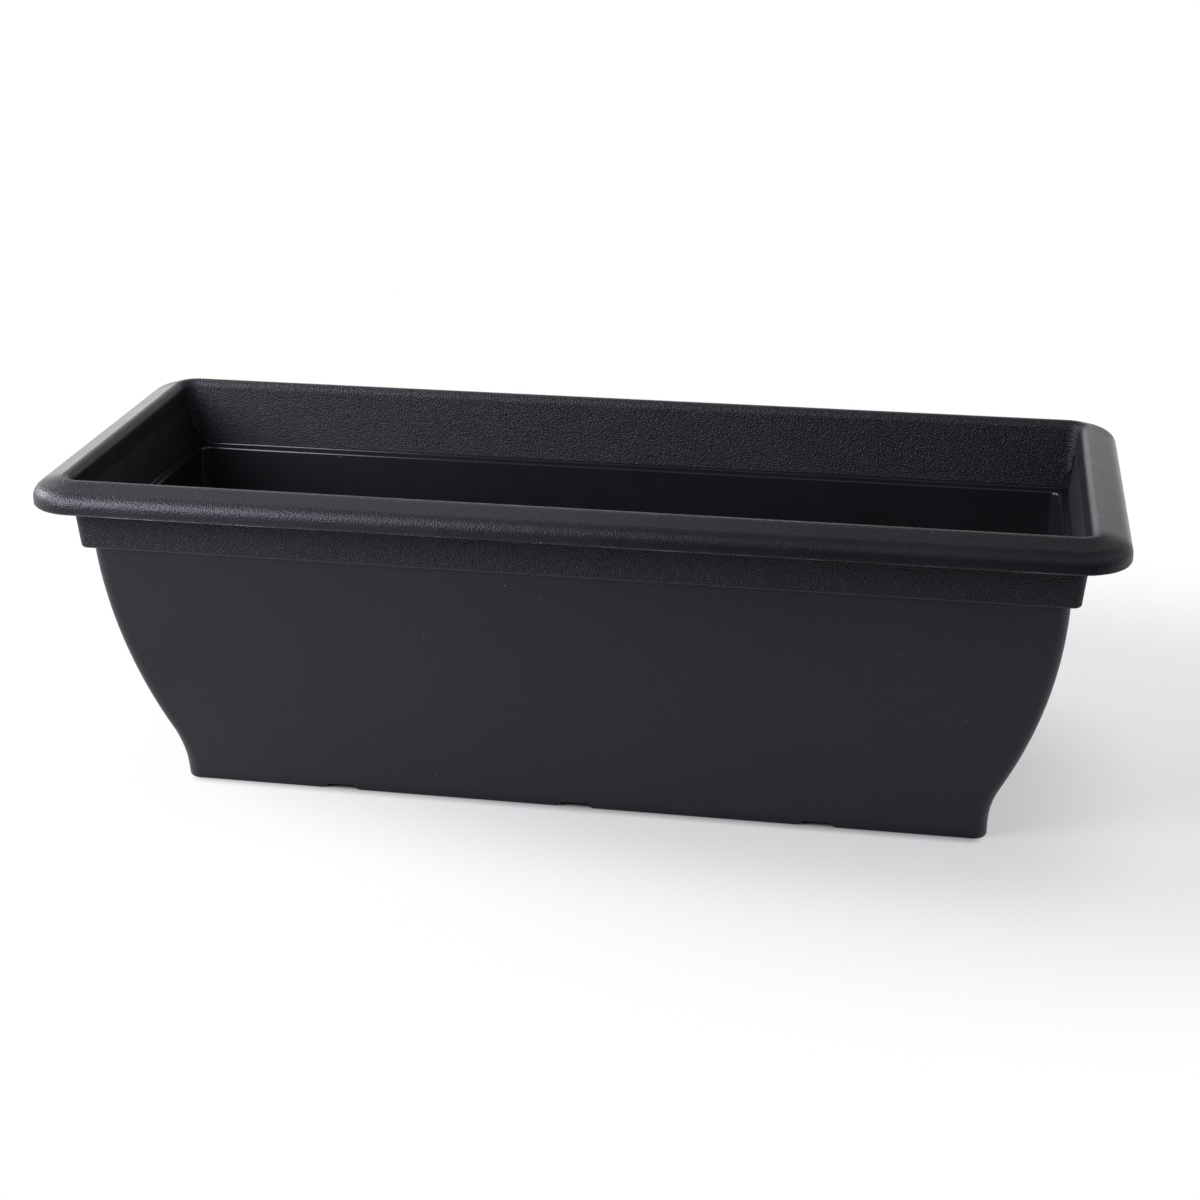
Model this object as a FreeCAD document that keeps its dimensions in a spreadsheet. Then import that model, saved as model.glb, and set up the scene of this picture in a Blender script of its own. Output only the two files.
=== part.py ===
"""Trough planter: one moulded trough and its three push-in drain plugs.

Millimetres, +Z up. The origin is on the ground, under the middle of the trough.
X runs along the trough, and the front is towards -Y.
"""
import FreeCAD
import Part
import Sketcher
import math
import os

# Driving dimensions of the trough and its plugs
SIZES = {
    # Overall box, measured at the outside of the rim and at its crest
    "rim_length": 600.0,
    "rim_width": 235.0,
    "height": 200.0,
    # Rim: a down-turned hollow lip with a sloping top and a bull nose
    "rim_corner": 28.5,
    "rim_skin": 1.8,
    "rim_slope": 18.3,
    "nose_radius": 8.2,
    "lip_drop": 2.8,
    "crest_inset": 16.8,
    "crest_radius": 5.0,
    # Collar band between the rim and the ledge
    "band_inset_foot": 23.5,
    "collar_depth": 42.6,
    "band_round": 1.4,
    "band_wall": 1.8,
    # Ledge inside the collar, where a nested trough would sit
    "ledge_thickness": 1.8,
    "ledge_round": 2.0,
    "ledge_corner_round": 1.6,
    # Walls below the band: flat drafted sides and ogee ends
    "end_step": 5.1,
    "side_step": 3.7,
    "wall": 2.2,
    "end_draw_in": 34.0,
    "side_draw_in": 29.1,
    "ogee_top_drop": 1.6,
    "ogee_foot_radius": 60.0,
    "wall_corner": 8.0,
    "foot_round": 1.0,
    # Raised floor inside the foot skirt
    "floor_rise": 6.0,
    "floor_thickness": 2.3,
    "floor_round": 5.0,
    # Drain notches in the lower edge of the skirt
    "notch_spacing": 141.0,
    "notch_width": 15.0,
    "notch_height": 3.2,
    "notch_flare": 6.0,
    # Stacking ribs at the ends of the collar
    "rib_thickness": 2.0,
    "rib_setback": 3.6,
    "rib_foot_reach": 4.8,
    "rib_head_reach": 1.6,
    "rib_shoulder_low": 8.0,
    "rib_shoulder_high": 16.0,
    "rib_height": 23.0,
    "rib_sink": 1.2,
    # Drain plugs and their bores in the floor
    "drain_bore": 16.0,
    "plug_clearance": 0.15,
    "plug_flange": 27.0,
    "plug_flange_thickness": 2.6,
    "plug_flange_round": 1.0,
    "plug_stem_reach": 2.4,
    "plug_tip_chamfer": 1.2,
    "plug_tab_length": 13.0,
    "plug_tab_thickness": 3.2,
    "plug_tab_height": 9.0,
    "plug_tab_round": 3.0,
    # Room that a cut takes beyond the faces that it opens
    "overrun": 5.0,
}

doc = FreeCAD.newDocument("trough_planter")
sheet = doc.addObject("Spreadsheet::Sheet", "Sizes")
for row, (alias, number) in enumerate(SIZES.items(), start=1):
    sheet.set(f"A{row}", alias)
    sheet.set(f"B{row}", str(number))
    sheet.setAlias(f"B{row}", alias)
doc.recompute()

# Lengths worked out from the driving dimensions, as formulas on the sheet's cells
HALF_LENGTH = "Sizes.rim_length / 2"
HALF_WIDTH = "Sizes.rim_width / 2"
BAND_HALF_LENGTH = f"({HALF_LENGTH} - Sizes.band_inset_foot)"
BAND_HALF_WIDTH = f"({HALF_WIDTH} - Sizes.band_inset_foot)"
BAND_FOOT = "(Sizes.height - Sizes.collar_depth)"
LEDGE_TOP = f"({BAND_FOOT} + Sizes.ledge_thickness)"
FLOOR_TOP = "(Sizes.floor_rise + Sizes.floor_thickness)"
END_TOP = f"({BAND_HALF_LENGTH} - Sizes.end_step)"
SIDE_TOP = f"({BAND_HALF_WIDTH} - Sizes.side_step)"
END_FOOT = f"({END_TOP} - Sizes.end_draw_in)"
SIDE_FOOT = f"({SIDE_TOP} - Sizes.side_draw_in)"
# How far a side leans out for each unit of height, and its wall measured level
SIDE_LEAN = f"(Sizes.side_draw_in / {BAND_FOOT})"
SIDE_WALL = f"(Sizes.wall * sqrt(1 + {SIDE_LEAN} ^ 2))"
# The ogee is two arcs that meet in line, upright at both ends, and starts level with the floor
OGEE_TOP = f"({BAND_FOOT} - Sizes.ogee_top_drop)"
OGEE_RISE = f"({OGEE_TOP} - {FLOOR_TOP})"
OGEE_RADII = f"(({OGEE_RISE} ^ 2 + Sizes.end_draw_in ^ 2) / (2 * Sizes.end_draw_in))"
OGEE_FOOT_SHARE = f"(Sizes.ogee_foot_radius / {OGEE_RADII})"


def value(formula):
    """Return the number that a formula on the sheet's cells stands for."""
    return float(sheet.evalExpression(formula))


def bind(thing, **formulas):
    """Bind properties of an object to formulas on the sheet; a double underscore stands for a dot."""
    for name, formula in formulas.items():
        thing.setExpression(name.replace("__", "."), formula)


def line_to(across, along):
    """An outline step: a straight run to a point given by two formulas."""
    return across, along, None, 0


def arc_to(across, along, radius, turn):
    """An outline step: an arc under half a circle to a point; turn 1 bends left, -1 bends right."""
    return across, along, radius, turn


def arc_middle(start, end, radius, turn):
    """Return the middle point of the arc from start to end that bends to the given side."""
    chord = end - start
    half = chord.Length / 2
    rise = radius - math.sqrt(max(radius ** 2 - half ** 2, 0))
    normal = FreeCAD.Vector(chord.y, -chord.x, 0).normalize()
    return (start + end) / 2 + normal * rise * turn


def place_point(sketch, geometry, end, formulas):
    """Fix an end of a sketch element at a point given by two formulas."""
    axes = (("DistanceX", -2), ("DistanceY", -1))
    for (kind, axis), formula in zip(axes, formulas):
        distance = value(formula)
        if distance == 0:
            sketch.addConstraint(Sketcher.Constraint("PointOnObject", geometry, end, axis))
            continue
        if distance > 0:
            index = sketch.addConstraint(Sketcher.Constraint(kind, -1, 1, geometry, end, distance))
            sketch.setExpression(f"Constraints[{index}]", formula)
            continue
        index = sketch.addConstraint(Sketcher.Constraint(kind, geometry, end, -1, 1, -distance))
        sketch.setExpression(f"Constraints[{index}]", f"-({formula})")


def draw_outline(sketch, steps):
    """Draw a closed outline, whose last step ends where the first one starts."""
    corners = [FreeCAD.Vector(value(step[0]), value(step[1]), 0) for step in steps]
    first = sketch.GeometryCount
    for number, (across, along, radius, turn) in enumerate(steps):
        start = corners[number - 1]
        end = corners[number]
        if radius is None:
            index = sketch.addGeometry(Part.LineSegment(start, end), False)
            start_end, far_end = 1, 2
        else:
            middle = arc_middle(start, end, value(radius), turn)
            index = sketch.addGeometry(Part.Arc(start, middle, end), False)
            start_end, far_end = (1, 2) if turn > 0 else (2, 1)
            held = sketch.addConstraint(Sketcher.Constraint("Radius", index, value(radius)))
            sketch.setExpression(f"Constraints[{held}]", radius)
        place_point(sketch, index, far_end, (across, along))
        if index > first:
            sketch.addConstraint(Sketcher.Constraint("Coincident", index, start_end, *last_end))
        else:
            first_end = (index, start_end)
        last_end = (index, far_end)
    sketch.addConstraint(Sketcher.Constraint("Coincident", *first_end, *last_end))


def free_sketch(name, plane, *outlines):
    """Return a sketch outside any body, on the plane XY, XZ or YZ, with closed outlines."""
    turns = {
        "XY": FreeCAD.Rotation(),
        "XZ": FreeCAD.Rotation(FreeCAD.Vector(1, 0, 0), 90),
        "YZ": FreeCAD.Rotation(FreeCAD.Vector(1, 1, 1), 120),
    }
    sketch = doc.addObject("Sketcher::SketchObject", name)
    sketch.Placement = FreeCAD.Placement(FreeCAD.Vector(), turns[plane])
    for outline in outlines:
        draw_outline(sketch, outline)
    doc.recompute()
    return sketch


def body_sketch(body, name, plane, *outlines):
    """Return a sketch on an origin plane of its own body, with closed outlines."""
    sketch = body.newObject("Sketcher::SketchObject", name)
    support = next(item for item in body.Origin.OriginFeatures if item.Role == f"{plane}_Plane")
    sketch.AttachmentSupport = (support, "")
    sketch.MapMode = "FlatFace"
    for outline in outlines:
        draw_outline(sketch, outline)
    doc.recompute()
    return sketch


def rounded_rectangle(half_long, half_wide, corner):
    """Return the outline of a rounded rectangle about the origin, from the middle of its front edge."""
    return [
        line_to("0", f"-({half_wide})"),
        line_to(f"{half_long} - {corner}", f"-({half_wide})"),
        arc_to(half_long, f"-({half_wide}) + {corner}", corner, 1),
        line_to(half_long, f"{half_wide} - {corner}"),
        arc_to(f"{half_long} - {corner}", half_wide, corner, 1),
        line_to(f"-({half_long}) + {corner}", half_wide),
        arc_to(f"-({half_long})", f"{half_wide} - {corner}", corner, 1),
        line_to(f"-({half_long})", f"-({half_wide}) + {corner}"),
        arc_to(f"-({half_long}) + {corner}", f"-({half_wide})", corner, 1),
    ]


def extrude(name, sketch, length, both_ways=False):
    """Return the solid that a free sketch sweeps along its own normal."""
    solid = doc.addObject("Part::Extrusion", name)
    solid.Base = sketch
    solid.DirMode = "Normal"
    solid.Solid = True
    solid.Symmetric = both_ways
    bind(solid, LengthFwd=length)
    return solid


def boolean(kind, name, first, *others):
    """Return a boolean of solids: a cut of the second from the first, or a fuse of them all."""
    result = doc.addObject(kind, name)
    if kind == "Part::MultiFuse":
        result.Shapes = [first, *others]
    else:
        result.Base = first
        result.Tool = others[0]
    result.Refine = True
    doc.recompute()
    return result


def edge_names(shape, chosen):
    """Return the names of the edges of a shape that a test picks."""
    return [f"Edge{number}" for number, edge in enumerate(shape.Edges, start=1) if chosen(edge)]


def round_edges(body, name, radius, chosen):
    """Round the picked edges of a body's last feature."""
    base = body.Tip
    fillet = body.newObject("PartDesign::Fillet", name)
    fillet.Base = (base, edge_names(base.Shape, chosen))
    bind(fillet, Radius=radius)
    doc.recompute()
    return fillet


def is_upright(edge):
    """Tell whether an edge climbs from one height to another."""
    return edge.BoundBox.ZLength > Part.Precision.approximation()


def ogee_block(name, inset, side_inset, bottom, top, corner, bottom_round):
    """Return a body with ogee ends and drafted flat sides, drawn in from the outside by an inset."""
    end_top = f"({END_TOP} - {inset})"
    end_foot = f"({END_FOOT} - {inset})"
    upper_radius = f"({OGEE_RADII} - Sizes.ogee_foot_radius - {inset})"
    lower_radius = f"(Sizes.ogee_foot_radius + {inset})"
    bend = f"({end_foot} + Sizes.end_draw_in * {OGEE_FOOT_SHARE})"
    bend_height = f"({FLOOR_TOP} + {OGEE_RISE} * {OGEE_FOOT_SHARE})"
    body = doc.addObject("PartDesign::Body", name)
    outline = [
        line_to(end_foot, FLOOR_TOP),
        arc_to(bend, bend_height, lower_radius, -1),
        arc_to(end_top, OGEE_TOP, upper_radius, 1),
        line_to(end_top, top),
        line_to(f"-{end_top}", top),
        line_to(f"-{end_top}", OGEE_TOP),
        arc_to(f"-{bend}", bend_height, upper_radius, 1),
        arc_to(f"-{end_foot}", FLOOR_TOP, lower_radius, -1),
    ]
    if bottom != FLOOR_TOP:
        outline += [line_to(f"-{end_foot}", bottom), line_to(end_foot, bottom)]
    block = body.newObject("PartDesign::Pad", f"{name}_ends")
    block.Profile = body_sketch(body, f"{name}_end_outline", "XZ", outline)
    block.Midplane = True
    bind(block, Length="Sizes.rim_width")
    doc.recompute()

    def side(height):
        """Return the half width of the block at a height."""
        return f"({SIDE_FOOT} - {side_inset} + {SIDE_LEAN} * ({height}))"

    below = f"({bottom} - Sizes.overrun)"
    above = f"({top} + Sizes.overrun)"
    beyond = f"({HALF_WIDTH} + Sizes.overrun)"
    front = [
        line_to(f"-{side(below)}", below),
        line_to(f"-{side(above)}", above),
        line_to(f"-{beyond}", above),
        line_to(f"-{beyond}", below),
    ]
    back = [
        line_to(side(below), below),
        line_to(beyond, below),
        line_to(beyond, above),
        line_to(side(above), above),
    ]
    draft = body.newObject("PartDesign::Pocket", f"{name}_draft")
    draft.Profile = body_sketch(body, f"{name}_side_outline", "YZ", front, back)
    draft.Type = "Length"
    draft.Midplane = True
    bind(draft, Length="Sizes.rim_length")
    doc.recompute()
    round_edges(body, f"{name}_corners", corner, is_upright)
    floor_level = value(bottom) + Part.Precision.approximation()
    round_edges(body, f"{name}_bottom", bottom_round, lambda edge: edge.BoundBox.ZMax < floor_level)
    return body


# Walls: the outside of the trough below its band, and the room inside
walls = ogee_block("walls", "0", "0", "0", LEDGE_TOP, "Sizes.wall_corner", "Sizes.foot_round")
room = ogee_block(
    "room",
    "Sizes.wall",
    SIDE_WALL,
    FLOOR_TOP,
    f"({LEDGE_TOP} + Sizes.overrun)",
    "(Sizes.wall_corner - Sizes.wall)",
    "Sizes.floor_round",
)

# Collar: the rim's hollow lip and the band, one section carried round the trough
CREST_START = "(Sizes.crest_inset - Sizes.crest_radius * sin(Sizes.rim_slope))"
CREST_START_HEIGHT = "(Sizes.height - Sizes.crest_radius * (1 - cos(Sizes.rim_slope)))"
NOSE_END = "(Sizes.nose_radius * (1 - sin(Sizes.rim_slope)))"
NOSE_END_HEIGHT = f"({CREST_START_HEIGHT} - ({CREST_START} - {NOSE_END}) * tan(Sizes.rim_slope))"
NOSE_CENTRE_HEIGHT = f"({NOSE_END_HEIGHT} - Sizes.nose_radius * cos(Sizes.rim_slope))"
LIP_FOOT_HEIGHT = f"({NOSE_CENTRE_HEIGHT} - Sizes.lip_drop)"
INNER_NOSE = "(Sizes.nose_radius - Sizes.rim_skin)"
INNER_NOSE_END = f"(Sizes.nose_radius - {INNER_NOSE} * sin(Sizes.rim_slope))"
INNER_NOSE_HEIGHT = f"({NOSE_CENTRE_HEIGHT} + {INNER_NOSE} * cos(Sizes.rim_slope))"
INNER_CREST = "(Sizes.crest_radius - Sizes.rim_skin)"
UNDER_CREST_START = f"(Sizes.crest_inset - {INNER_CREST} * sin(Sizes.rim_slope))"
CREST_END = "(Sizes.crest_inset + Sizes.crest_radius)"
CREST_END_HEIGHT = "(Sizes.height - Sizes.crest_radius)"
UNDER_CREST_HEIGHT = f"({CREST_END_HEIGHT} + {INNER_CREST} * cos(Sizes.rim_slope))"
UNDER_CREST_END = f"(Sizes.crest_inset + {INNER_CREST})"
BAND_INNER = "(Sizes.band_inset_foot + Sizes.band_wall)"


def from_outside(inset):
    """Return the place across the front of the trough at an inset from the outside of the rim."""
    return f"-({HALF_WIDTH} - {inset})"


collar_section = [
    line_to(from_outside("0"), LIP_FOOT_HEIGHT),
    line_to(from_outside("Sizes.rim_skin"), LIP_FOOT_HEIGHT),
    line_to(from_outside("Sizes.rim_skin"), NOSE_CENTRE_HEIGHT),
    arc_to(from_outside(INNER_NOSE_END), INNER_NOSE_HEIGHT, INNER_NOSE, -1),
    line_to(from_outside(UNDER_CREST_START), UNDER_CREST_HEIGHT),
    arc_to(from_outside(UNDER_CREST_END), CREST_END_HEIGHT, INNER_CREST, -1),
    line_to(from_outside("Sizes.band_inset_foot"), f"{BAND_FOOT} + Sizes.band_round"),
    arc_to(
        from_outside("(Sizes.band_inset_foot + Sizes.band_round)"),
        BAND_FOOT,
        "Sizes.band_round",
        1,
    ),
    line_to(from_outside(f"({BAND_INNER} + Sizes.ledge_corner_round)"), BAND_FOOT),
    line_to(from_outside(f"({BAND_INNER} + Sizes.ledge_corner_round)"), LEDGE_TOP),
    arc_to(
        from_outside(BAND_INNER),
        f"{LEDGE_TOP} + Sizes.ledge_corner_round",
        "Sizes.ledge_corner_round",
        -1,
    ),
    line_to(from_outside(CREST_END), CREST_END_HEIGHT),
    arc_to(from_outside(CREST_START), CREST_START_HEIGHT, "Sizes.crest_radius", 1),
    line_to(from_outside(NOSE_END), NOSE_END_HEIGHT),
    arc_to(from_outside("0"), NOSE_CENTRE_HEIGHT, "Sizes.nose_radius", 1),
]
collar = doc.addObject("Part::Sweep", "collar")
collar.Sections = [free_sketch("collar_section", "YZ", collar_section)]
collar_path = free_sketch(
    "collar_path", "XY", rounded_rectangle(HALF_LENGTH, HALF_WIDTH, "Sizes.rim_corner")
)
collar.Spine = (collar_path, [f"Edge{number + 1}" for number in range(len(collar_path.Shape.Edges))])
collar.Solid = True
collar.Frenet = False
doc.recompute()

# Ledge: a plate across the foot of the band, which the room inside then opens
LEDGE_INSET = "(Sizes.band_inset_foot + Sizes.band_round)"
ledge_outline = rounded_rectangle(
    f"({HALF_LENGTH} - {LEDGE_INSET})",
    f"({HALF_WIDTH} - {LEDGE_INSET})",
    f"(Sizes.rim_corner - {LEDGE_INSET})",
)
ledge_sketch = free_sketch("ledge_outline", "XY", ledge_outline)
ledge = extrude("ledge", ledge_sketch, "Sizes.ledge_thickness")
bind(ledge, Placement__Base__z=BAND_FOOT)

# Foot: the recess under the raised floor, and the notches that let the water out
recess = doc.addObject("PartDesign::Body", "recess")
recess_pad = recess.newObject("PartDesign::Pad", "recess_depth")
recess_pad.Profile = body_sketch(
    recess,
    "recess_outline",
    "XY",
    rounded_rectangle(
        f"({END_FOOT} - Sizes.wall)",
        f"({SIDE_FOOT} - {SIDE_WALL})",
        "(Sizes.wall_corner - Sizes.wall)",
    ),
)
bind(recess_pad, Length="Sizes.floor_rise + Sizes.overrun")
bind(recess, Placement__Base__z="-Sizes.overrun")
doc.recompute()

NOTCH_HALF = "(Sizes.notch_width / 2)"
# The shoulders are arcs that leave the ground level and climb to the top of the notch
FLARE_REACH = "sqrt(Sizes.notch_height * (2 * Sizes.notch_flare - Sizes.notch_height))"
NOTCH_MOUTH = f"({NOTCH_HALF} + {FLARE_REACH})"
notch_outline = [
    line_to(NOTCH_MOUTH, "0"),
    arc_to(NOTCH_HALF, "Sizes.notch_height", "Sizes.notch_flare", -1),
    line_to(f"-{NOTCH_HALF}", "Sizes.notch_height"),
    arc_to(f"-{NOTCH_MOUTH}", "0", "Sizes.notch_flare", -1),
    line_to(f"-{NOTCH_MOUTH}", "-Sizes.overrun"),
    line_to(NOTCH_MOUTH, "-Sizes.overrun"),
]

# Three drains stand in a row, each behind a front notch and before a back one
DRAINS = {"left": "-Sizes.notch_spacing", "middle": "0", "right": "Sizes.notch_spacing"}
openings = [room, recess]
for side, place in DRAINS.items():
    notch_sketch = free_sketch(f"notch_outline_{side}", "XZ", notch_outline)
    notch = extrude(f"notch_{side}", notch_sketch, "Sizes.rim_width", both_ways=True)
    bind(notch, Placement__Base__x=place)
    bore = doc.addObject("Part::Cylinder", f"bore_{side}")
    bind(
        bore,
        Radius="Sizes.drain_bore / 2",
        Height=f"{FLOOR_TOP} + Sizes.overrun",
        Placement__Base__x=place,
    )
    openings += [notch, bore]
doc.recompute()

# Trough: one moulding, opened from above and below, with the ledge's inner edge rounded
blank = boolean("Part::MultiFuse", "blank", walls, collar, ledge)
hollows = boolean("Part::MultiFuse", "hollows", *openings)
opened = boolean("Part::Cut", "opened", blank, hollows)


def is_ledge_edge(edge):
    """Tell whether an edge runs round the mouth of the room, at the top of the ledge."""
    box = edge.BoundBox
    level = abs(box.ZMax - value(LEDGE_TOP)) < Part.Precision.approximation() and not is_upright(edge)
    inside = max(abs(box.YMin), abs(box.YMax)) < value(SIDE_TOP) and box.XMax < value(END_TOP)
    return level and inside and box.XMin > -value(END_TOP)


rounded = doc.addObject("Part::Fillet", "rounded")
rounded.Base = opened
ledge_round = value("Sizes.ledge_round")
ledge_edges = edge_names(opened.Shape, is_ledge_edge)
rounded.Edges = [(int(name[len("Edge"):]), ledge_round, ledge_round) for name in ledge_edges]
doc.recompute()

# Stacking ribs: two at each end of the collar, standing on the ledge against the end wall
RIB_WALL = f"({HALF_LENGTH} - {BAND_INNER})"
RIB_ROOT = f"({RIB_WALL} + Sizes.band_wall / 2)"
# The end wall leans out, so the rib's root does too
BAND_LEAN = f"(({BAND_INNER} - {CREST_END}) / ({CREST_END_HEIGHT} - {LEDGE_TOP}))"
RIB_LEAN = f"({BAND_LEAN} * Sizes.rib_height)"
RIB_FOOT = f"({RIB_WALL} - Sizes.rib_foot_reach)"
RIB_HEAD = f"({RIB_WALL} + {RIB_LEAN} - Sizes.rib_head_reach)"
RIB_HEAD_TURN = "Sizes.rib_height - Sizes.rib_head_reach"
RIB_SHOULDER = "(Sizes.rib_shoulder_high - Sizes.rib_shoulder_low)"
RIB_STEP = f"(Sizes.rib_foot_reach + {RIB_LEAN} - Sizes.rib_head_reach)"
RIB_S_RADIUS = f"(({RIB_SHOULDER} ^ 2 + {RIB_STEP} ^ 2) / (4 * {RIB_STEP}))"
rib_outline = [
    line_to(RIB_ROOT, f"{LEDGE_TOP} - Sizes.rib_sink"),
    line_to(f"{RIB_ROOT} + {RIB_LEAN}", f"{LEDGE_TOP} + Sizes.rib_height"),
    line_to(f"{RIB_WALL} + {RIB_LEAN}", f"{LEDGE_TOP} + Sizes.rib_height"),
    arc_to(RIB_HEAD, f"{LEDGE_TOP} + {RIB_HEAD_TURN}", "Sizes.rib_head_reach", 1),
    line_to(RIB_HEAD, f"{LEDGE_TOP} + Sizes.rib_shoulder_high"),
    arc_to(
        f"({RIB_HEAD} + {RIB_FOOT}) / 2",
        f"{LEDGE_TOP} + (Sizes.rib_shoulder_high + Sizes.rib_shoulder_low) / 2",
        RIB_S_RADIUS,
        -1,
    ),
    arc_to(RIB_FOOT, f"{LEDGE_TOP} + Sizes.rib_shoulder_low", RIB_S_RADIUS, 1),
    line_to(RIB_FOOT, f"{LEDGE_TOP} - Sizes.rib_sink"),
]
RIB_PLACE = f"({BAND_HALF_WIDTH} - Sizes.band_wall - Sizes.rib_setback)"
half_turn = FreeCAD.Rotation(FreeCAD.Vector(0, 0, 1), 180)
ribs = []
for end in ("right", "left"):
    for side, place in (("front", f"-{RIB_PLACE}"), ("back", RIB_PLACE)):
        rib_sketch = free_sketch(f"rib_outline_{end}_{side}", "XZ", rib_outline)
        rib = extrude(f"rib_{end}_{side}", rib_sketch, "Sizes.rib_thickness", both_ways=True)
        if end == "left":
            rib.Placement = FreeCAD.Placement(FreeCAD.Vector(), half_turn)
        bind(rib, Placement__Base__y=place)
        ribs.append(rib)
doc.recompute()
trough = boolean("Part::MultiFuse", "trough_shell", rounded, *ribs)

# Drain plugs: a flange that rests on the floor, a stem in the bore and a tab to pull
STEM_RADIUS = "(Sizes.drain_bore / 2 - Sizes.plug_clearance)"
STEM_FOOT = "-(Sizes.floor_thickness + Sizes.plug_stem_reach)"
FLANGE_RADIUS = "(Sizes.plug_flange / 2)"
plug_section = [
    line_to("0", STEM_FOOT),
    line_to(f"{STEM_RADIUS} - Sizes.plug_tip_chamfer", STEM_FOOT),
    line_to(STEM_RADIUS, f"{STEM_FOOT} + Sizes.plug_tip_chamfer"),
    line_to(STEM_RADIUS, "0"),
    line_to(FLANGE_RADIUS, "0"),
    line_to(FLANGE_RADIUS, "Sizes.plug_flange_thickness - Sizes.plug_flange_round"),
    arc_to(
        f"{FLANGE_RADIUS} - Sizes.plug_flange_round",
        "Sizes.plug_flange_thickness",
        "Sizes.plug_flange_round",
        1,
    ),
    line_to("0", "Sizes.plug_flange_thickness"),
]
TAB_HALF = "(Sizes.plug_tab_length / 2)"
TAB_ROOT = "(Sizes.plug_flange_thickness / 2)"
TAB_TOP = "(Sizes.plug_flange_thickness + Sizes.plug_tab_height)"
TAB_TURN = f"({TAB_TOP} - Sizes.plug_tab_round)"
tab_outline = [
    line_to(TAB_HALF, TAB_ROOT),
    line_to(TAB_HALF, TAB_TURN),
    arc_to(f"{TAB_HALF} - Sizes.plug_tab_round", TAB_TOP, "Sizes.plug_tab_round", 1),
    line_to(f"-{TAB_HALF} + Sizes.plug_tab_round", TAB_TOP),
    arc_to(f"-{TAB_HALF}", TAB_TURN, "Sizes.plug_tab_round", 1),
    line_to(f"-{TAB_HALF}", TAB_ROOT),
]


def drain_plug(name, place):
    """Return a plug as a body whose flange rests on the floor over its bore."""
    body = doc.addObject("PartDesign::Body", name)
    turned = body.newObject("PartDesign::Revolution", f"{name}_turned")
    section = body_sketch(body, f"{name}_section", "XZ", plug_section)
    turned.Profile = section
    turned.ReferenceAxis = (section, ["V_Axis"])
    turned.Angle = 360
    doc.recompute()
    tab = body.newObject("PartDesign::Pad", f"{name}_tab")
    tab.Profile = body_sketch(body, f"{name}_tab_outline", "XZ", tab_outline)
    tab.Midplane = True
    bind(tab, Length="Sizes.plug_tab_thickness")
    bind(body, Placement__Base__x=place, Placement__Base__z=FLOOR_TOP)
    doc.recompute()
    return body


nodes = [trough]
nodes += [drain_plug(f"drain_plug_{side}", place) for side, place in DRAINS.items()]
doc.recompute()

# Every object must be sound before a file is written
for item in doc.Objects:
    if "Invalid" in item.State or "Error" in item.State:
        raise RuntimeError(f"{item.Label} did not build: {item.State}")
os.makedirs("parts", exist_ok=True)
for node in nodes:
    shape = node.Shape
    if shape.isNull() or not shape.isValid() or len(shape.Solids) != 1:
        raise RuntimeError(f"{node.Label} is not one sound solid")
    shape.exportStep(os.path.join("parts", f"{node.Label}.step"))
    box = shape.optimalBoundingBox(False, False)
    size = f"{box.XLength:.1f} x {box.YLength:.1f} x {box.ZLength:.1f}"
    print(f"{node.Label}: {size}, volume {shape.Volume:.0f}")
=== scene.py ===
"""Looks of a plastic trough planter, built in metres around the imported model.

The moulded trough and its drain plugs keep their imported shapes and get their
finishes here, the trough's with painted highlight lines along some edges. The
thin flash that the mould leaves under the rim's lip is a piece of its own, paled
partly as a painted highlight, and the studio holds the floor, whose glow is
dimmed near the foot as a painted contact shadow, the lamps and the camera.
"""

import logging
import math
import random
from abc import ABC, abstractmethod
from collections.abc import Mapping, Sequence
from dataclasses import dataclass
from enum import Enum
from typing import Any, ClassVar, Union

import bmesh
import bpy
from mathutils import Matrix, Vector


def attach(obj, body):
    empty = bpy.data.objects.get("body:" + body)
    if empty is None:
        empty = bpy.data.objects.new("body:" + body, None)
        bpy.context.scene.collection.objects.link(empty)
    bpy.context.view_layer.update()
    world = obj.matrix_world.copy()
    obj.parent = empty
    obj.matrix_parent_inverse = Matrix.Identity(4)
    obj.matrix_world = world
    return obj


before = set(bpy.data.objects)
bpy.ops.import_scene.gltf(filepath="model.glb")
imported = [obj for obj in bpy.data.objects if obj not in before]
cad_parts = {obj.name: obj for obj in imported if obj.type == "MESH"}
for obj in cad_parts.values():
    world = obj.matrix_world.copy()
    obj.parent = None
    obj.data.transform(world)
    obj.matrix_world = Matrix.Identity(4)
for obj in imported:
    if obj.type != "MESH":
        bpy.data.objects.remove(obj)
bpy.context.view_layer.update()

Colour = tuple[float, float, float]
Point = tuple[float, float, float]
# A mask's ramp: where it is 0, and where it is 1
Span = tuple[float, float]
Operand = Union["Wire", float]

MM = 0.001
NOISE_MEAN = 0.5
WHITE: Colour = (1.0, 1.0, 1.0)
BLACK: Colour = (0.0, 0.0, 0.0)
log = logging.getLogger("trough_planter")


class Body(Enum):
    """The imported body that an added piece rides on."""

    TROUGH = "trough"


class Slot(Enum):
    """A material slot name of the record; no piece is given it here."""

    TROUGH = "trough"


class Lobe(Enum):
    """The kinds of ray to which the floor shows its white."""

    CAMERA = "Is Camera Ray"
    GLOSSY = "Is Glossy Ray"
    TRANSMISSION = "Is Transmission Ray"


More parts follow.
